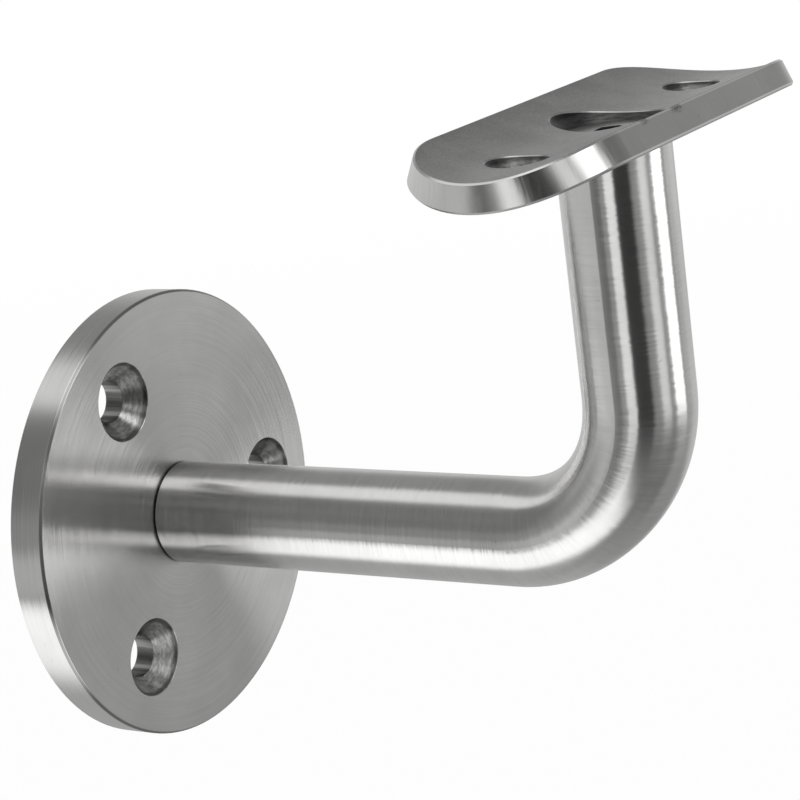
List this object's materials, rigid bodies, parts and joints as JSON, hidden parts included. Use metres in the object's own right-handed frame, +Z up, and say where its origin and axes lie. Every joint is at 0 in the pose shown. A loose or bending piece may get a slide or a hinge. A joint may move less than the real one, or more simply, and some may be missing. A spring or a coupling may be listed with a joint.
{
  "type": "handrail bracket",
  "caption": "Wall bracket for a round handrail: a round wall plate with sunk screw holes, a bent round bar arm and a curved oval saddle that the rail is screwed to.",
  "frame": {"origin": "middle of the wall plate's back face, on the wall", "axes": "+Z up, -Y straight out from the wall, X along the rail"},
  "size_m": [0.079, 0.103, 0.0975],
  "materials": {
    "wall_plate_steel": "satin, turned and ground",
    "arm_steel": "satin, ground along the bar",
    "saddle_steel": "satin",
    "screw_steel": "plain machined"
  },
  "bodies": {
    "root": {"wall_plate": "wall_plate_steel", "arm": "arm_steel", "saddle": "saddle_steel", "saddle_screw": "screw_steel", "arm_screw": "screw_steel"}
  },
  "joints": []
}
